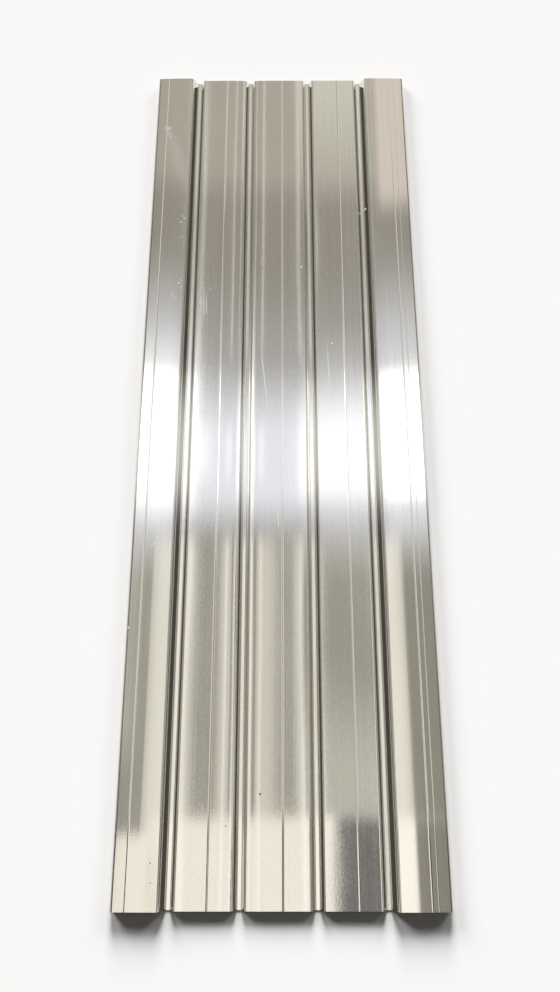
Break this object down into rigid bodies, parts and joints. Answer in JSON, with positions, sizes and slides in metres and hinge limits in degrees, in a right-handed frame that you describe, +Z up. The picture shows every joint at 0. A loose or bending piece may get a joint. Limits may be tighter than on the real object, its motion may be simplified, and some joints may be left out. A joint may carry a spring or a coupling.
{
  "type": "ribbed metal wall panel",
  "caption": "Thin roll-formed metal wall panel with broad beaded ridges, narrow trapezoidal grooves along its length and turned-down side lips.",
  "frame": {"origin": "middle of the panel's outline, on the plane its groove floors rest on", "axes": "+X across the width, +Y along the length, +Z up out of the ridged face"},
  "size_m": [0.3, 0.915, 0.0094],
  "materials": {
    "sheet": "bright mill finish with fine rolling lines along the length"
  },
  "bodies": {
    "root": {"panel_sheet": "sheet"}
  },
  "joints": []
}
